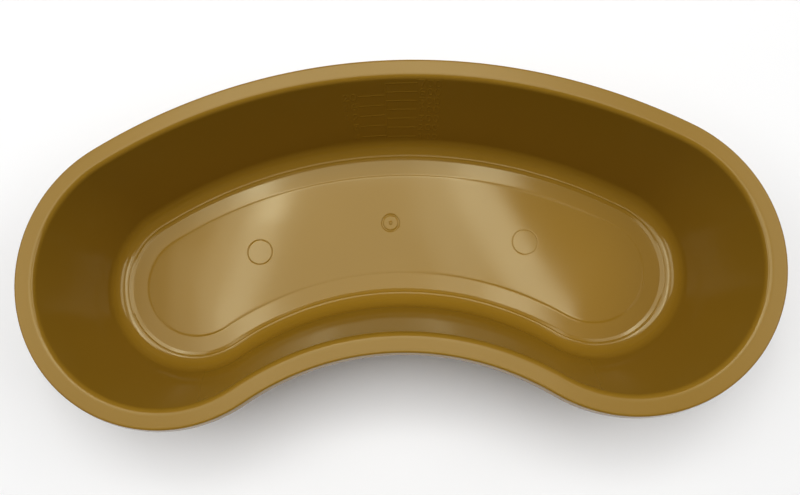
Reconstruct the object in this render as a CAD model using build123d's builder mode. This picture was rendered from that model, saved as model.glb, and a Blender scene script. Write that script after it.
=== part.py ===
from build123d import *
from math import asin, cos, degrees, pi, radians, sin, sqrt, tan
import os

# A kidney dish for the ward: one moulding in polypropylene, with a turned-down rim
# and a filling scale on the inside of its back wall. Millimetres, +Z up.
# The origin is on the table, under the middle of the dish's bounding box.
# +X runs along the dish, and +Y points to its long convex back.

# Driving dimensions
length = 254.0
inner_depth = 47.0
back_radius = 201.0
end_radius = 50.0
waist_radius = 93.0
sheet = 1.4
wall_draft = 14.0

# Rim: a flat flange, a rounded lip on its inside and a flared skirt on its outside
skirt_flare = 1.0
skirt_height = 3.5
flange_round = 0.8
lip_inset = 6.3
lip_round = 2.2
edge_round = 0.4

# Floor: a rounded corner that runs out in a slope with a fine ridge on it, a flat channel
# at the slope's foot, and a panel raised slightly in the middle
floor_round = 7.0
foot_slope = 15.0
ridge_outer_inset = 22.0
ridge_inset = 22.4
ridge_inner_inset = 22.8
ridge_rise = 0.04
ridge_round = 0.1
channel_outer_inset = 24.0
channel_inner_inset = 29.7
panel_inset = 30.5
panel_rise = 0.12
witness_round = 0.2

# Foot ring under the channel. The panel is made as a plate and joins the ring further in
foot_height = 2.0
under_height = 0.9
foot_outer_inset = 24.2
foot_inner_inset = 29.4
joint_inset = 32.0

# Marks that the mould leaves on the floor
pin_x = 51.7
pin_y = 1.5
pin_diameter = 10.0
pin_groove_width = 0.35
pin_groove_depth = 0.15
gate_y = 11.1
gate_diameter = 7.4
gate_groove_width = 1.0
gate_groove_depth = 0.3
gate_nub_diameter = 1.6
gate_nub_height = 0.3

# Filling scale, in relief on the back wall
fluid_ounce = 28413.0
millilitre = 1000.0
millilitre_marks = [100, 200, 300, 400, 500, 600, 700]
ounce_marks = [4, 8, 12, 16, 20]
millilitre_line = 11.0
ounce_line = 9.5
line_width = 0.5
relief = 0.12
numeral_height = 3.8
numeral_width = 1.6
numeral_pitch = 2.7
numeral_line = 0.45
numeral_gap = 1.2

# Strokes of the numerals, on a grid one numeral wide and one numeral high
numeral_strokes = {
    "0": [[(0, 0.2), (0.3, 0), (0.7, 0), (1, 0.2), (1, 0.8), (0.7, 1), (0.3, 1), (0, 0.8), (0, 0.2)]],
    "1": [[(0.1, 0.8), (0.5, 1), (0.5, 0)]],
    "2": [[(0, 0.8), (0.3, 1), (0.7, 1), (1, 0.8), (1, 0.6), (0, 0), (1, 0)]],
    "3": [[(0, 1), (1, 1), (0.45, 0.6), (1, 0.4), (1, 0.2), (0.7, 0), (0, 0)]],
    "4": [[(0.75, 0), (0.75, 1), (0, 0.3), (1, 0.3)]],
    "5": [[(1, 1), (0, 1), (0, 0.55), (0.7, 0.55), (1, 0.4), (1, 0.2), (0.7, 0), (0, 0)]],
    "6": [[(0.9, 1), (0.4, 1), (0, 0.6), (0, 0), (1, 0), (1, 0.5), (0, 0.5)]],
    "7": [[(0, 1), (1, 1), (0.35, 0)]],
    "8": [[(0.1, 0.55), (0.1, 1), (0.9, 1), (0.9, 0.55), (0.1, 0.55)],
          [(0, 0.55), (0, 0), (1, 0), (1, 0.55), (0, 0.55)]],
}

# Plan: three radii that meet in tangents, and share their centres at every inset
half_rim = length / 2 - skirt_flare
end_x = half_rim - end_radius
back_to_end = sqrt((back_radius - end_radius) ** 2 - end_x**2)
waist_to_end = sqrt((waist_radius + end_radius) ** 2 - end_x**2)
rim_breadth = back_radius - back_to_end + end_radius
back_y = rim_breadth / 2 - back_radius
end_y = back_y + back_to_end
waist_y = end_y - waist_to_end
back_turn = degrees(asin(end_x / (back_radius - end_radius)))
waist_turn = degrees(asin(end_x / (waist_radius + end_radius)))
end_sweep = 180 + waist_turn - back_turn

# Each arc: centre, radius at the flange's edge, which way the dish lies from that edge
# (1 towards the centre, -1 away from it), start angle and sweep
plan_arcs = [
    ((0, back_y), back_radius, 1, 90 - back_turn, 2 * back_turn),
    ((-end_x, end_y), end_radius, 1, 90 + back_turn, end_sweep),
    ((0, waist_y), waist_radius, -1, 90 - waist_turn, 2 * waist_turn),
    ((end_x, end_y), end_radius, 1, -90 - waist_turn, end_sweep),
]

# Heights
channel_z = foot_height
panel_z = channel_z + panel_rise
rim_z = channel_z + inner_depth
skirt_z = rim_z - skirt_height

# Wall: where its inner face would meet the slope, and its outer face the underside
wall_slope = tan(radians(wall_draft))
foot_rise = tan(radians(foot_slope))
foot_run = lip_inset + (inner_depth - channel_outer_inset * foot_rise) * wall_slope
wall_foot_inset = foot_run / (1 - foot_rise * wall_slope)
under_inset = lip_inset + (rim_z - under_height) * wall_slope - sheet / cos(radians(wall_draft))

# The middle of the rounded corner, as its inset and its height above the channel
round_reach = floor_round / cos(radians(wall_draft))
round_run = channel_outer_inset - lip_inset - inner_depth * wall_slope - round_reach
round_height = round_run * foot_rise + floor_round / cos(radians(foot_slope))
round_height = round_height / (1 - foot_rise * wall_slope)
round_inset = lip_inset + (inner_depth - round_height) * wall_slope + round_reach

# Rim: how far a corner moves from the sheet's inner face to its outer one
corner_shift = sheet * tan(radians(90 - wall_draft) / 2)
skirt_slope = skirt_flare / skirt_height
skirt_thickness = sheet * sqrt(1 + skirt_slope**2)


def slope_z(inset):
    """Height of the slope at the wall's foot."""
    return channel_z + (channel_outer_inset - inset) * foot_rise


# The section of the sheet, as corners with their inset from the flange's edge, their
# height and their radius: down the inside first, then back up the outside
section_corners = [
    (-skirt_flare, skirt_z, edge_round),
    (0, rim_z, flange_round),
    (lip_inset, rim_z, lip_round),
    (wall_foot_inset, slope_z(wall_foot_inset), floor_round),
    (ridge_outer_inset, slope_z(ridge_outer_inset), ridge_round),
    (ridge_inset, slope_z(ridge_outer_inset) + ridge_rise, ridge_round),
    (ridge_inner_inset, slope_z(ridge_inner_inset), ridge_round),
    (channel_outer_inset, channel_z, witness_round),
    (channel_inner_inset, channel_z, witness_round),
    (panel_inset, panel_z, witness_round),
    (joint_inset, panel_z, 0),
    (joint_inset, panel_z - sheet, 0),
    (foot_inner_inset, panel_z - sheet, edge_round),
    (foot_inner_inset, 0, edge_round),
    (foot_outer_inset, 0, edge_round),
    (foot_outer_inset, under_height, edge_round),
    (under_inset, under_height, floor_round + sheet),
    (lip_inset - corner_shift, rim_z - sheet, lip_round - sheet),
    (skirt_thickness - sheet * skirt_slope, rim_z - sheet, edge_round),
    (skirt_thickness - skirt_flare, skirt_z, edge_round),
]


def radial_plane(centre, angle):
    """An upright plane through an arc's centre, with its x axis along the radius."""
    turn = radians(angle)
    return Plane(
        origin=(centre[0], centre[1], 0),
        x_dir=(cos(turn), sin(turn), 0),
        z_dir=(sin(turn), -cos(turn), 0),
    )


def upright_axis(centre):
    return Axis((centre[0], centre[1], 0), (0, 0, 1))


def kidney_outline(inset):
    """The plan's outline, moved in from the flange's edge."""
    for centre, radius, side, start, sweep in plan_arcs:
        CenterArc(centre, radius - side * inset, start, sweep)


def cavity_inset(height):
    """Where the inner face of the wall lies at a height above the channel."""
    if height > round_height - floor_round * sin(radians(wall_draft)):
        return lip_inset + (inner_depth - height) * wall_slope
    if height > round_height - floor_round * cos(radians(foot_slope)):
        return round_inset - sqrt(floor_round**2 - (round_height - height) ** 2)
    return channel_outer_inset - height / foot_rise


def write_number(number, first_x, z):
    """Trace a number's strokes, with its first numeral at first_x and its middle at z."""
    for place, numeral in enumerate(str(number)):
        left = first_x + place * numeral_pitch
        for stroke in numeral_strokes[numeral]:
            with BuildLine() as line:
                Polyline(
                    [
                        (left + across * numeral_width, z + (up - 0.5) * numeral_height)
                        for across, up in stroke
                    ]
                )
            trace(line.line, numeral_line)


with BuildSketch() as rim_shape:
    with BuildLine():
        kidney_outline(0)
    make_face()
rim_area = rim_shape.sketch.area
rim_perimeter = sum(edge.length for edge in rim_shape.edges())


def fill_height(volume, slice_height=0.01):
    """How high above the channel a volume fills the dish, in thin slices."""
    height = 0.0
    filled = 0.0
    while filled < volume:
        inset = cavity_inset(height + slice_height / 2)
        area = rim_area - rim_perimeter * inset + pi * inset**2
        filled += area * slice_height
        height += slice_height
    return height


# Filling scale: marks drawn from the front and cut to a thin layer on the wall's face
scale_start_y = waist_y + waist_radius
scale_reach = back_y + back_radius - scale_start_y
scale_foot_z = channel_z + fill_height(100 * millilitre)
scale_head_z = channel_z + fill_height(700 * millilitre)
layer_low_z = scale_foot_z - 3
layer_high_z = scale_head_z + 2

with BuildPart() as scale_marks:
    with BuildSketch(Plane(origin=(0, scale_start_y, 0), x_dir=(1, 0, 0), z_dir=(0, -1, 0))):
        with Locations((0, (scale_foot_z + scale_head_z) / 2)):
            Rectangle(line_width, scale_head_z - scale_foot_z)
        for mark in millilitre_marks:
            z = channel_z + fill_height(mark * millilitre)
            with Locations((0, z)):
                Rectangle(millilitre_line, line_width, align=(Align.MIN, Align.CENTER))
            write_number(mark, millilitre_line + numeral_gap, z)
        for mark in ounce_marks:
            z = channel_z + fill_height(mark * fluid_ounce)
            with Locations((0, z)):
                Rectangle(ounce_line, line_width, align=(Align.MAX, Align.CENTER))
            number_width = numeral_width + numeral_pitch * (len(str(mark)) - 1)
            write_number(mark, -ounce_line - numeral_gap - number_width, z)
    extrude(amount=-scale_reach)
    with BuildSketch(radial_plane((0, back_y), 90 - back_turn)):
        with BuildLine():
            low_r = back_radius - lip_inset - (rim_z - layer_low_z) * wall_slope
            high_r = back_radius - lip_inset - (rim_z - layer_high_z) * wall_slope
            Polyline(
                (low_r - relief, layer_low_z),
                (low_r + relief, layer_low_z),
                (high_r + relief, layer_high_z),
                (high_r - relief, layer_high_z),
                close=True,
            )
        make_face()
    revolve(axis=upright_axis((0, back_y)), revolution_arc=2 * back_turn, mode=Mode.INTERSECT)


with BuildPart() as dish:
    # Rim, wall and floor edge, one arc of the plan at a time
    for centre, radius, side, start, sweep in plan_arcs:
        with BuildSketch(radial_plane(centre, start)):
            with BuildLine():
                FilletPolyline(
                    [(radius - side * inset, z) for inset, z, _ in section_corners],
                    radius=[corner_round for _, _, corner_round in section_corners],
                    close=True,
                )
            make_face()
        revolve(axis=upright_axis(centre), revolution_arc=sweep)

    # Floor panel inside the ring
    with BuildSketch(Plane.XY.offset(panel_z)):
        with BuildLine():
            kidney_outline(joint_inset)
        make_face()
    extrude(amount=-sheet)

    # Ejector pin rings and the gate mark
    with BuildSketch(Plane.XY.offset(panel_z)):
        with Locations((-pin_x, pin_y), (pin_x, pin_y)):
            Circle(pin_diameter / 2)
            Circle(pin_diameter / 2 - pin_groove_width, mode=Mode.SUBTRACT)
    extrude(amount=-pin_groove_depth, mode=Mode.SUBTRACT)
    with BuildSketch(Plane.XY.offset(panel_z)):
        with Locations((0, gate_y)):
            Circle(gate_diameter / 2)
            Circle(gate_diameter / 2 - gate_groove_width, mode=Mode.SUBTRACT)
    extrude(amount=-gate_groove_depth, mode=Mode.SUBTRACT)
    with BuildSketch(Plane.XY.offset(panel_z)):
        with Locations((0, gate_y)):
            Circle(gate_nub_diameter / 2)
    extrude(amount=gate_nub_height)

    add(scale_marks.part)

os.makedirs("parts", exist_ok=True)
dish.part.label = "dish"
export_step(dish.part, "parts/dish.step")
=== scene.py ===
from math import asin, atan, ceil, cos, pi, radians, sin, sqrt, tan

import bmesh
import bpy
import numpy as np
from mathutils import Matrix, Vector
from mathutils.geometry import delaunay_2d_cdt


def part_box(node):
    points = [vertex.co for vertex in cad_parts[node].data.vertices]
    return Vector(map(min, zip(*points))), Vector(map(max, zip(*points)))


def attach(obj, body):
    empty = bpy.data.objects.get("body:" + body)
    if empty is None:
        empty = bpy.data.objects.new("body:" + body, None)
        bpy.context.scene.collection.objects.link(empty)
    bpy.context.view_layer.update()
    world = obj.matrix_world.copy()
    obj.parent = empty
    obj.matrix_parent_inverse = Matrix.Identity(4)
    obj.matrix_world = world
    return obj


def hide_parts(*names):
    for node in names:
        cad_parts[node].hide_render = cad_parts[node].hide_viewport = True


# The looks of a kidney dish: one moulding in gold brown polypropylene.
# Metres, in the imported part's frame: +X along the dish, +Y to its long back, +Z up.
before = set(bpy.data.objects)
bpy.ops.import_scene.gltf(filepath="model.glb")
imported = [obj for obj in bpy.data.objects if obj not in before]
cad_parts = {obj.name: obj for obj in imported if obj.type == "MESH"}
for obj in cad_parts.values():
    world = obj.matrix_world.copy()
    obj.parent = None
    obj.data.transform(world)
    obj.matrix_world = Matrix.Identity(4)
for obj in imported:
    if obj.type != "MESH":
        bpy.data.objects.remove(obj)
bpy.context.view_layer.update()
low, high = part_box("dish")

# Plan, as three radii that meet in tangents
back_radius = 0.201
end_radius = 0.050
waist_radius = 0.093

# Section of the sheet. An inset is a distance in from the flange's outer edge
sheet = 0.0014
wall_draft = radians(14)
skirt_flare = 0.0010
skirt_height = 0.0035
flange_round = 0.0008
lip_inset = 0.0063
lip_round = 0.0022
edge_round = 0.0004
floor_round = 0.0070
foot_slope = radians(15)
ridge_outer_inset = 0.0220
ridge_inset = 0.0224
ridge_inner_inset = 0.0228
ridge_rise = 0.00004
ridge_round = 0.0001
channel_outer_inset = 0.0240
channel_inner_inset = 0.0297
panel_inset = 0.0305
panel_rise = 0.00012
panel_round = 0.0030
witness_round = 0.0002
foot_height = 0.0020
under_height = 0.0009
foot_outer_inset = 0.0242
foot_inner_inset = 0.0294
joint_inset = 0.0320
crown_height = 0.0004

# Marks that the mould leaves on the floor
pin_x = 0.0517
pin_y = 0.0015
pin_radius = 0.0050
pin_groove_width = 0.00035
pin_groove_depth = 0.00015
faint_groove_depth = 0.00005
gate_y = 0.0111
gate_radius = 0.0037
gate_groove_width = 0.0010
gate_groove_depth = 0.0003
gate_nub_radius = 0.0008
gate_nub_height = 0.0003
groove_wall_share = 0.3

# Filling scale, in relief on the back wall
cubic_metre_per_ml = 1e-6
cubic_metre_per_oz = 28.413e-6
millilitre_marks = [100, 200, 300, 400, 500, 600, 700]
ounce_marks = [4, 8, 12, 16, 20]
millilitre_line = 0.0110
ounce_line = 0.0095
relief = 0.00012
patch_half_width = 0.0245
patch_low = 0.0055
patch_high = 0.0474
relief_crest = 0.00012
relief_foot = 0.00036
numeral_height = 0.0038
numeral_width = 0.0016
numeral_pitch = 0.0027
numeral_gap = 0.0012

# Strokes of the numerals, on a grid one numeral wide and one numeral high
numeral_strokes = {
    "0": [[(0, 0.2), (0.3, 0), (0.7, 0), (1, 0.2), (1, 0.8), (0.7, 1), (0.3, 1), (0, 0.8), (0, 0.2)]],
    "1": [[(0.1, 0.8), (0.5, 1), (0.5, 0)]],
    "2": [[(0, 0.8), (0.3, 1), (0.7, 1), (1, 0.8), (1, 0.6), (0, 0), (1, 0)]],
    "3": [[(0, 1), (1, 1), (0.45, 0.6), (1, 0.4), (1, 0.2), (0.7, 0), (0, 0)]],
    "4": [[(0.75, 0), (0.75, 1), (0, 0.3), (1, 0.3)]],
    "5": [[(1, 1), (0, 1), (0, 0.55), (0.7, 0.55), (1, 0.4), (1, 0.2), (0.7, 0), (0, 0)]],
    "6": [[(0.9, 1), (0.4, 1), (0, 0.6), (0, 0), (1, 0), (1, 0.5), (0, 0.5)]],
    "7": [[(0, 1), (1, 1), (0.35, 0)]],
    "8": [[(0.1, 0.55), (0.1, 1), (0.9, 1), (0.9, 0.55), (0.1, 0.55)],
          [(0, 0.55), (0, 0), (1, 0), (1, 0.55), (0, 0.55)]],
}

# How finely the surface and the filling are divided
station_step = 0.0020
row_step = 0.0030
row_support = 0.0004
arc_step = radians(9)
floor_step = 0.0025
patch_step = 0.0020
stroke_step = 0.0003
ring_step = 0.0003
ring_gap = 0.0002
ring_spread = 0.0008
stroke_cell = 0.00008
stroke_slack = 0.00001
stroke_halo = 0.00054
stroke_clearance = 0.000792
slice_height = 0.00001
lean_step = 0.0001
tolerance = 1e-6

# Plastic: two colours and two roughnesses that noise runs between, and the rim's satin
cloud_noise = {"Scale": 18, "Detail": 3}
handling_noise = {"Scale": 45, "Detail": 5}
noise_low, noise_high = 0.3, 0.7
darker_gold = (0.241, 0.127, 0.0092, 1)
lighter_gold = (0.253, 0.134, 0.0106, 1)
gloss_tint = (0.96, 0.925, 0.64, 1)
glossiest, least_glossy = 0.10, 0.13
rim_added_roughness = 0.2
rim_satin_depth = 0.0003
rim_satin_full_depth = 0.00005

# Softboxes that face down: centre, size, turn about the upright and radiance
softboxes = {
    "overhead": ((0, 0.2, 1.06), (1.2, 0.8), 0, 0.55),
    "middle_panel": ((-0.075, 0.185, 1.0), (0.25, 0.83), 0, 2.3),
    "ramp_right": ((0.085, 0.235, 1.0), (0.08, 0.73), radians(4), 3.6),
    "strip_right": ((0.180, 0.20, 1.0), (0.10, 0.74), radians(8), 6.4),
    "strip_left": ((-0.24, 0.20, 1.0), (0.075, 0.74), 0, 6.5),
    "spot_left": ((-0.225, 0.30, 1.02), (0.05, 0.14), 0, 4.5),
    "shoulder_left": ((-0.31, 0.20, 1.0), (0.06, 0.72), 0, 3.2),
    "fade_left": ((-0.39, 0.20, 1.0), (0.10, 0.72), 0, 1.1),
    "front_left": ((-0.50, -0.05, 1.03), (0.30, 0.50), 0, 0.5),
    "back_panel": ((0, 0.48, 1.03), (0.9, 0.24), 0, 2.2),
    "side_left": ((-0.85, 0.12, 1.0), (0.5, 0.9), 0, 3.4),
    "side_right": ((0.85, 0.12, 1.0), (0.5, 0.9), 0, 3.9),
}
world_strength = 0.1

# The plan follows from the frame's box
skirt_lean = atan(skirt_flare / skirt_height)
skirt_reach = skirt_flare - edge_round * ((1 + sin(skirt_lean)) / cos(skirt_lean) - 1)
half_rim = (high.x - low.x) / 2 - skirt_reach
end_x = half_rim - end_radius
back_to_end = sqrt((back_radius - end_radius) ** 2 - end_x**2)
waist_to_end = sqrt((waist_radius + end_radius) ** 2 - end_x**2)
rim_breadth = back_radius - back_to_end + end_radius
back_y = rim_breadth / 2 - back_radius
end_y = back_y + back_to_end
waist_y = end_y - waist_to_end
back_turn = asin(end_x / (back_radius - end_radius))
waist_turn = asin(end_x / (waist_radius + end_radius))
end_sweep = pi + waist_turn - back_turn

# Each arc: centre, radius at the flange's edge, which way the dish lies from that edge
# (1 towards the centre, -1 away from it), start angle and sweep
back_arc = ((0, back_y), back_radius, 1, pi / 2 - back_turn, 2 * back_turn)
left_arc = ((-end_x, end_y), end_radius, 1, pi / 2 + back_turn, end_sweep)
waist_arc = ((0, waist_y), waist_radius, -1, pi / 2 + waist_turn, -2 * waist_turn)
right_arc = ((end_x, end_y), end_radius, 1, -pi / 2 - waist_turn, end_sweep)
plan_arcs = [back_arc, left_arc, waist_arc, right_arc]

# Heights
channel_z = foot_height
panel_z = channel_z + panel_rise
rim_z = high.z
skirt_z = rim_z - skirt_height
inner_depth = rim_z - channel_z
half_waist = (back_y + back_radius - waist_y - waist_radius) / 2

# Wall: where its inner face would meet the slope, and its outer face the underside
wall_slope = tan(wall_draft)
foot_rise = tan(foot_slope)
foot_run = lip_inset + (inner_depth - channel_outer_inset * foot_rise) * wall_slope
wall_foot_inset = foot_run / (1 - foot_rise * wall_slope)
under_inset = lip_inset + (rim_z - under_height) * wall_slope - sheet / cos(wall_draft)

# The middle of the rounded corner, as its inset and its height above the channel
round_reach = floor_round / cos(wall_draft)
round_run = channel_outer_inset - lip_inset - inner_depth * wall_slope - round_reach
round_height = round_run * foot_rise + floor_round / cos(foot_slope)
round_height = round_height / (1 - foot_rise * wall_slope)
round_inset = lip_inset + (inner_depth - round_height) * wall_slope + round_reach

# Rim: how far a corner moves from the sheet's inner face to its outer one
corner_shift = sheet * tan((pi / 2 - wall_draft) / 2)
skirt_slope = skirt_flare / skirt_height
skirt_thickness = sheet * sqrt(1 + skirt_slope**2)


def slope_z(inset):
    """Height of the slope at the wall's foot."""
    return channel_z + (channel_outer_inset - inset) * foot_rise


# The section as corners with their inset, height and radius: from the panel's top face,
# up the inside, over the rim, down the outside and back to the panel's underside
section_corners = [
    (joint_inset, panel_z, 0),
    (panel_inset, panel_z, panel_round),
    (channel_inner_inset, channel_z, panel_round),
    (channel_outer_inset, channel_z, witness_round),
    (ridge_inner_inset, slope_z(ridge_inner_inset), ridge_round),
    (ridge_inset, slope_z(ridge_outer_inset) + ridge_rise, ridge_round),
    (ridge_outer_inset, slope_z(ridge_outer_inset), ridge_round),
    (wall_foot_inset, slope_z(wall_foot_inset), floor_round),
    (lip_inset, rim_z, lip_round),
    (0, rim_z, flange_round),
    (-skirt_flare, skirt_z, edge_round),
    (skirt_thickness - skirt_flare, skirt_z, edge_round),
    (skirt_thickness - sheet * skirt_slope, rim_z - sheet, edge_round),
    (lip_inset - corner_shift, rim_z - sheet, lip_round - sheet),
    (under_inset, under_height, floor_round + sheet),
    (foot_outer_inset, under_height, edge_round),
    (foot_outer_inset, 0, edge_round),
    (foot_inner_inset, 0, edge_round),
    (foot_inner_inset, panel_z - sheet, edge_round),
    (joint_inset, panel_z - sheet, 0),
]


# ---- The dish's surface ----

points = []
faces = []


def add_point(place):
    """The number of a new point."""
    points.append(tuple(place))
    return len(points) - 1


def rounded_section():
    """The section as (inset, z) points, with its corners rounded."""
    corners = [(np.array(corner[:2]), corner[2]) for corner in section_corners]
    path = [corners[0][0]]
    for (before, _), (corner, radius), (after, _) in zip(corners, corners[1:], corners[2:]):
        back = (before - corner) / np.linalg.norm(before - corner)
        ahead = (after - corner) / np.linalg.norm(after - corner)
        half_angle = np.arccos(np.clip(back @ ahead, -1, 1)) / 2
        turn = pi - 2 * half_angle
        middle = (back + ahead) / np.linalg.norm(back + ahead)
        centre = corner + middle * radius / sin(half_angle)
        first = corner + back * radius / tan(half_angle) - centre
        last = corner + ahead * radius / tan(half_angle) - centre
        count = max(3, ceil(turn / arc_step))
        for step in range(count + 1):
            share = step / count
            weights = sin((1 - share) * turn), sin(share * turn)
            path.append(centre + (first * weights[0] + last * weights[1]) / sin(turn))
    path.append(corners[-1][0])
    return path


def divided(path):
    """The path with more points on its straight stretches, close beside their ends first."""
    made = [path[0]]
    for start, end in zip(path, path[1:]):
        length = np.linalg.norm(end - start)
        if length > 2 * row_support:
            support = row_support / length
            count = ceil(length / row_step)
            shares = [support] + [step / count for step in range(1, count)] + [1 - support]
            made += [start + (end - start) * share for share in shares]
        made.append(end)
    return made


def crown(inset):
    """How far the floor's panel rises towards its middle line."""
    share = np.clip((inset - panel_inset) / (half_waist - panel_inset), 0, 1)
    return crown_height * (1 - (1 - share) ** 2)


def plan_stations():
    """Centre, edge radius, side and direction of each station round the plan."""
    stations = []
    for centre, radius, side, start, sweep in plan_arcs:
        count = ceil(radius * abs(sweep) / station_step)
        for step in range(count):
            angle = start + sweep * step / count
            stations.append((centre, radius, side, (cos(angle), sin(angle))))
    return stations


def plan_point(station, inset):
    """The place at an inset from the flange's edge, at one station."""
    centre, radius, side, outward = station
    distance = radius - side * inset
    return centre[0] + distance * outward[0], centre[1] + distance * outward[1]


def plan_inset(x, y):
    """How far in from the flange's edge a place on the floor lies."""
    nearest = np.full(np.shape(x), np.inf)
    for centre, radius, side, start, sweep in plan_arcs:
        across = x - centre[0]
        along = y - centre[1]
        middle = start + sweep / 2
        turned = np.arctan2(
            along * cos(middle) - across * sin(middle), across * cos(middle) + along * sin(middle)
        )
        inset = side * (radius - np.hypot(across, along))
        faced = np.abs(turned) <= abs(sweep) / 2 + tolerance
        nearest = np.where(faced, np.minimum(nearest, inset), nearest)
    return nearest


def smooth(edge_0, edge_1, value):
    """A soft step from 0 to 1 as the value goes from one edge to the other."""
    share = np.clip((value - edge_0) / (edge_1 - edge_0), 0, 1)
    return share * share * (3 - 2 * share)


def fill_loop(loop, axes, spots, places):
    """Triangles across a loop of points and the places inside it, which are laid out flat
    along two axes as spots. Millimetres suit the triangulation's tolerance."""
    outline = [[points[index][axis] for axis in axes] for index in loop]
    flat = [Vector((across * 1000, along * 1000)) for across, along in outline + spots]
    edges = [(index, (index + 1) % len(loop)) for index in range(len(loop))]
    _, _, triangles, origins, _, _ = delaunay_2d_cdt(flat, edges, [], 1, tolerance)
    numbers = loop + [add_point(place) for place in places]
    for triangle in triangles:
        faces.append([numbers[origins[corner][0]] for corner in triangle])


# Marks on the floor: centre, outer radius of the groove, its width and depth, and the nub
floor_marks = [
    ((-pin_x, pin_y), pin_radius, pin_groove_width, pin_groove_depth, 0),
    ((pin_x, pin_y), pin_radius, pin_groove_width, faint_groove_depth, 0),
    ((0, gate_y), gate_radius, gate_groove_width, gate_groove_depth, gate_nub_height),
]


def mark_height(distance, radius, width, depth, nub):
    """Height of a floor mark at a distance from its centre."""
    wall = width * groove_wall_share
    groove = smooth(radius - width, radius - width + wall, distance)
    groove = groove * (1 - smooth(radius - wall, radius, distance))
    return nub * (1 - smooth(gate_nub_radius * 0.5, gate_nub_radius, distance)) - depth * groove


def floor_z(x, y):
    """Height of the panel's top face."""
    z = panel_z + crown(plan_inset(x, y))
    for (mark_x, mark_y), radius, width, depth, nub in floor_marks:
        z += mark_height(np.hypot(x - mark_x, y - mark_y), radius, width, depth, nub)
    return z


def floor_grid():
    """Even points over the panel, clear of its edge."""
    xs = np.arange(-half_rim, half_rim, floor_step)
    ys = np.arange(-rim_breadth / 2, rim_breadth / 2, floor_step * sqrt(3) / 2)
    spots = [(x + floor_step / 2 * (row % 2), y) for row, y in enumerate(ys) for x in xs]
    spots = np.array(spots)
    return spots[plan_inset(spots[:, 0], spots[:, 1]) > joint_inset + floor_step / 2]


def mark_rings(mark):
    """Points on rings round one floor mark."""
    (mark_x, mark_y), radius, width, _, nub = mark
    wall = width * groove_wall_share
    inner = radius - width
    rings = [radius + ring_spread, radius + ring_gap, radius, radius - wall / 2, radius - wall]
    rings += [inner + wall, inner + wall / 2, inner, inner - ring_gap, inner - ring_spread]
    if nub:
        rings += [gate_nub_radius * share for share in (1.25, 1, 0.75, 0.5, 0.25)]
    count = ceil(2 * pi * radius / ring_step)
    spots = []
    for ring in rings:
        for step in range(count):
            angle = 2 * pi * step / count
            spots.append((mark_x + ring * cos(angle), mark_y + ring * sin(angle)))
    return spots


def build_floor(top_loop, under_loop):
    """The panel's two faces, inside the ring."""
    grid = floor_grid()
    clear = np.full(len(grid), True)
    rings = []
    inside = []
    for mark in floor_marks:
        (mark_x, mark_y), radius, width, _, nub = mark
        away = np.hypot(grid[:, 0] - mark_x, grid[:, 1] - mark_y)
        clear &= away > radius + ring_spread + floor_step / 3
        rings += mark_rings(mark)
        if not nub:
            inside += grid[away < radius - width - 2 * ring_spread].tolist()
    top = grid[clear].tolist() + rings + inside
    top_z = floor_z(*np.transpose(top))
    fill_loop(top_loop, (0, 1), top, [(x, y, z) for (x, y), z in zip(top, top_z)])
    under_z = panel_z - sheet + crown(plan_inset(*grid.T))
    fill_loop(under_loop, (0, 1), grid.tolist(), [(x, y, z) for (x, y), z in zip(grid, under_z)])


# ---- The filling scale ----


def cavity_inset(height):
    """Where the inner face of the wall lies at a height above the channel."""
    if height > round_height - floor_round * sin(wall_draft):
        return lip_inset + (inner_depth - height) * wall_slope
    if height > round_height - floor_round * cos(foot_slope):
        return round_inset - sqrt(floor_round**2 - (round_height - height) ** 2)
    return channel_outer_inset - height / foot_rise


def fill_heights(volumes):
    """Heights above the channel that rising volumes fill the dish to, in thin slices."""
    rim_area = 0.0
    rim_perimeter = 0.0
    for centre, radius, side, start, sweep in plan_arcs:
        rim_perimeter += radius * abs(sweep)
        end = start + sweep
        rim_area += 0.5 * radius * radius * sweep
        rim_area += 0.5 * radius * centre[0] * (sin(end) - sin(start))
        rim_area -= 0.5 * radius * centre[1] * (cos(end) - cos(start))
    height = 0.0
    filled = 0.0
    heights = []
    for volume in volumes:
        while filled < volume:
            inset = cavity_inset(height + slice_height / 2)
            filled += (rim_area - rim_perimeter * inset + pi * inset**2) * slice_height
            height += slice_height
        heights.append(height)
    return heights


def number_strokes(number, first_x, z):
    """A number's strokes as lists of (x, z), with its first numeral at first_x."""
    strokes = []
    for place, numeral in enumerate(str(number)):
        left = first_x + place * numeral_pitch
        for stroke in numeral_strokes[numeral]:
            strokes.append([
                (left + across * numeral_width, z + (up - 0.5) * numeral_height)
                for across, up in stroke
            ])
    return strokes


def scale_segments():
    """Every straight piece of the filling scale, as (x, z) to (x, z) seen from the front."""
    millilitre_heights = fill_heights([mark * cubic_metre_per_ml for mark in millilitre_marks])
    ounce_heights = fill_heights([mark * cubic_metre_per_oz for mark in ounce_marks])
    foot = channel_z + millilitre_heights[0]
    head = channel_z + millilitre_heights[-1]
    strokes = [[(0, foot), (0, head)]]
    for mark, height in zip(millilitre_marks, millilitre_heights):
        z = channel_z + height
        strokes.append([(0, z), (millilitre_line, z)])
        strokes += number_strokes(mark, millilitre_line + numeral_gap, z)
    for mark, height in zip(ounce_marks, ounce_heights):
        z = channel_z + height
        strokes.append([(-ounce_line, z), (0, z)])
        width = numeral_width + numeral_pitch * (len(str(mark)) - 1)
        strokes += number_strokes(mark, -ounce_line - numeral_gap - width, z)
    return np.array([pair for stroke in strokes for pair in zip(stroke, stroke[1:])])


def stroke_distance(spots, segments):
    """Distance of each spot from the nearest stroke's middle line."""
    nearest = np.full(len(spots), np.inf)
    for start, end in segments:
        along = end - start
        share = np.clip((spots - start) @ along / (along @ along), 0, 1)
        nearest = np.minimum(nearest, np.linalg.norm(spots - start - share[:, None] * along, axis=1))
    return nearest


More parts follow.
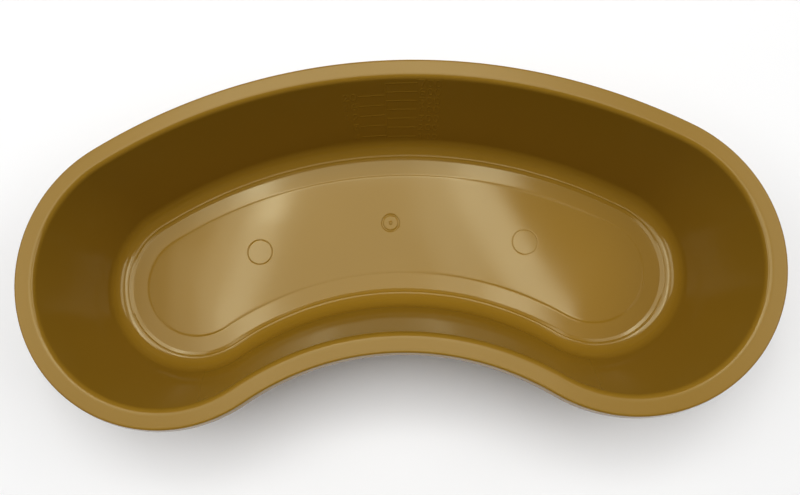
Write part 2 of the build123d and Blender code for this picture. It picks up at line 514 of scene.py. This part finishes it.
def stroke_spots(segments):
    """Points in lines along the strokes and round their ends."""
    spots = []
    offsets = [0, relief_crest, (relief_crest + relief_foot) / 2, relief_foot, stroke_halo]
    for offset in offsets:
        lines = []
        for start, end in segments:
            along = end - start
            length = np.linalg.norm(along)
            across = np.array((-along[1], along[0])) / length
            count = ceil(length / stroke_step)
            for shift in (-across * offset, across * offset):
                lines += [start + along * step / count + shift for step in range(count + 1)]
            turns = ceil(2 * pi * offset / stroke_step)
            for step in range(turns):
                angle = 2 * pi * step / turns
                round_end = np.array((cos(angle), sin(angle))) * offset
                lines += [start + round_end, end + round_end]
        lines = np.array(lines)
        spots.append(lines[stroke_distance(lines, segments) > offset - stroke_slack])
    return thinned(np.concatenate(spots))


def thinned(spots):
    """The spots with those left out that share a small cell with an earlier one."""
    cells = np.round(spots / stroke_cell).astype(int)
    _, first = np.unique(cells, axis=0, return_index=True)
    return spots[np.sort(first)]


def wall_place(x, z, lift):
    """A place on the back wall's inner face, seen from the front, lifted off the wall."""
    height = z - channel_z
    inset = cavity_inset(height)
    lean = atan((cavity_inset(height - lean_step) - inset) / lean_step)
    radius = back_radius - inset - lift * cos(lean)
    return x, back_y + sqrt(radius**2 - x**2), z + lift * sin(lean)


def build_scale(loop):
    """The patch of the back wall that carries the filling scale."""
    segments = scale_segments()
    edge = [(points[index][0], points[index][2]) for index in loop]
    edge_x = max(x for x, _ in edge)
    edge_low = min(z for _, z in edge)
    edge_high = max(z for _, z in edge)
    strokes = stroke_spots(segments)
    xs = np.arange(-edge_x, edge_x, patch_step)
    zs = np.arange(edge_low + patch_step / 2, edge_high - patch_step / 3, patch_step)
    coarse = np.array([(x, z) for x in xs for z in zs])
    reach = np.array([edge_half_width(loop, z) for z in coarse[:, 1]])
    coarse = coarse[np.abs(coarse[:, 0]) < reach - patch_step / 3]
    coarse = coarse[stroke_distance(coarse, segments) > stroke_clearance]
    spots = np.concatenate([strokes, coarse])
    lifts = relief * (1 - smooth(relief_crest, relief_foot, stroke_distance(spots, segments)))
    places = [wall_place(x, z, lift) for (x, z), lift in zip(spots, lifts)]
    fill_loop(loop, (0, 2), spots.tolist(), places)


def edge_half_width(loop, z):
    """Half the width of the scale's patch at a height."""
    near = min(loop, key=lambda index: (abs(points[index][2] - z), -abs(points[index][0])))
    return abs(points[near][0])


def build_ring():
    """The rim, wall and floor edge round the plan, with the patch for the scale left open."""
    stations = plan_stations()
    section = divided(rounded_section())
    rows = []
    for inset, z in section:
        rise = crown(inset)
        rows.append([add_point((*plan_point(station, inset), z + rise)) for station in stations])
    inner_wall = [
        row for row, (inset, z) in enumerate(section)
        if abs(inset - cavity_inset(z - channel_z)) < tolerance and patch_low < z < patch_high
    ]
    first_row, last_row = inner_wall[0], inner_wall[-1]
    open_columns = [
        column for column, station in enumerate(stations)
        if station[1] == back_radius and abs(plan_point(station, lip_inset)[0]) < patch_half_width
    ]
    first_column, last_column = open_columns[0], open_columns[-1]
    for row in range(len(rows) - 1):
        for column in range(len(stations)):
            ahead = (column + 1) % len(stations)
            if first_row <= row < last_row and first_column <= column < last_column:
                continue
            upper, lower = rows[row], rows[row + 1]
            faces.append([upper[column], upper[ahead], lower[ahead], lower[column]])
    patch = [rows[first_row][column] for column in range(first_column, last_column)]
    patch += [rows[row][last_column] for row in range(first_row, last_row)]
    patch += [rows[last_row][column] for column in range(last_column, first_column, -1)]
    patch += [rows[row][first_column] for row in range(last_row, first_row, -1)]
    return rows[0], rows[-1], patch


def build_dish():
    """The whole moulding as one closed mesh."""
    top_loop, under_loop, patch = build_ring()
    build_floor(top_loop, under_loop)
    build_scale(patch)
    mesh = bpy.data.meshes.new("dish_body")
    mesh.from_pydata(points, [], faces)
    surface = bmesh.new()
    surface.from_mesh(mesh)
    loose = [vertex for vertex in surface.verts if not vertex.link_faces]
    bmesh.ops.delete(surface, geom=loose, context="VERTS")
    bmesh.ops.recalc_face_normals(surface, faces=surface.faces)
    surface.to_mesh(mesh)
    surface.free()
    mesh.shade_smooth()
    piece = bpy.data.objects.new("dish_body", mesh)
    bpy.context.scene.collection.objects.link(piece)
    return piece


# ---- Material ----


def set_inputs(node, values):
    """Set some of a node's inputs by name."""
    for name, value in values.items():
        node.inputs[name].default_value = value


def gold_polypropylene():
    """Moulded plastic in one opaque gold brown, glossy with a more satin rim."""
    material = bpy.data.materials.new("gold_polypropylene")
    material.use_nodes = True
    nodes = material.node_tree.nodes
    links = material.node_tree.links
    shader = nodes["Principled BSDF"]
    set_inputs(shader, {"IOR": 1.49, "Specular IOR Level": 0.44, "Specular Tint": gloss_tint})
    place = nodes.new("ShaderNodeTexCoord").outputs["Object"]

    clouds = nodes.new("ShaderNodeTexNoise")
    set_inputs(clouds, cloud_noise)
    links.new(place, clouds.inputs["Vector"])
    tint = nodes.new("ShaderNodeValToRGB")
    first, last = tint.color_ramp.elements
    first.position, first.color = noise_low, darker_gold
    last.position, last.color = noise_high, lighter_gold
    links.new(clouds.outputs["Fac"], tint.inputs["Fac"])
    links.new(tint.outputs["Color"], shader.inputs["Base Color"])

    handling = nodes.new("ShaderNodeTexNoise")
    set_inputs(handling, handling_noise)
    links.new(place, handling.inputs["Vector"])
    gloss = nodes.new("ShaderNodeMapRange")
    set_inputs(gloss, {
        "From Min": noise_low, "From Max": noise_high, "To Min": glossiest, "To Max": least_glossy,
    })
    links.new(handling.outputs["Fac"], gloss.inputs["Value"])

    height = nodes.new("ShaderNodeSeparateXYZ")
    links.new(place, height.inputs["Vector"])
    rim = nodes.new("ShaderNodeMapRange")
    set_inputs(rim, {
        "From Min": rim_z - rim_satin_depth,
        "From Max": rim_z - rim_satin_full_depth,
        "To Max": rim_added_roughness,
    })
    links.new(height.outputs["Z"], rim.inputs["Value"])
    roughness = nodes.new("ShaderNodeMath")
    links.new(gloss.outputs["Result"], roughness.inputs[0])
    links.new(rim.outputs["Result"], roughness.inputs[1])
    links.new(roughness.outputs["Value"], shader.inputs["Roughness"])
    return material


# ---- Stage: floor, lights and camera ----


def add_floor():
    """A wide pale floor under the dish."""
    mesh = bpy.data.meshes.new("stage_floor")
    reach = 6.0
    corners = [(-reach, -reach, 0), (reach, -reach, 0), (reach, reach, 0), (-reach, reach, 0)]
    mesh.from_pydata(corners, [], [(0, 1, 2, 3)])
    floor = bpy.data.objects.new("stage_floor", mesh)
    bpy.context.scene.collection.objects.link(floor)
    material = bpy.data.materials.new("pale_floor")
    material.use_nodes = True
    set_inputs(material.node_tree.nodes["Principled BSDF"], {
        "Base Color": (0.9, 0.9, 0.9, 1), "Roughness": 0.9, "Specular IOR Level": 0.1,
    })
    mesh.materials.append(material)


def add_lights():
    """Softboxes about a metre above the floor: a dim sheet, a panel over the middle with
    bright strips on both sides of it, one at the front left, one behind and a wide one at
    each end. A weak white world fills in."""
    for name, (centre, size, turn, radiance) in softboxes.items():
        light = bpy.data.lights.new(name, "AREA")
        light.shape = "RECTANGLE"
        light.size, light.size_y = size
        light.energy = radiance * pi * size[0] * size[1]
        lamp = bpy.data.objects.new(name, light)
        lamp.location = centre
        lamp.rotation_euler = (0, 0, turn)
        bpy.context.scene.collection.objects.link(lamp)
    world = bpy.data.worlds.new("studio")
    world.use_nodes = True
    background = world.node_tree.nodes["Background"]
    set_inputs(background, {"Color": (1, 1, 1, 1), "Strength": world_strength})
    bpy.context.scene.world = world


def add_camera():
    """A camera that looks down into the dish from above its hollow side."""
    camera = bpy.data.cameras.new("camera")
    camera.sensor_width = 36
    camera.lens = 33.635
    camera.shift_x = 0.0516
    camera.shift_y = -0.0529
    camera.clip_start = 0.01
    eye = bpy.data.objects.new("camera", camera)
    eye.location = (-0.00035, -0.03546, 0.29258)
    eye.rotation_euler = (0.18281, 0.04713, -0.0324)
    bpy.context.scene.collection.objects.link(eye)
    bpy.context.scene.camera = eye


add_camera()
dish_body = build_dish()
dish_body.data.materials.append(gold_polypropylene())
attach(dish_body, "root")
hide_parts("dish")
add_floor()
add_lights()
bpy.context.scene.view_settings.view_transform = "Standard"
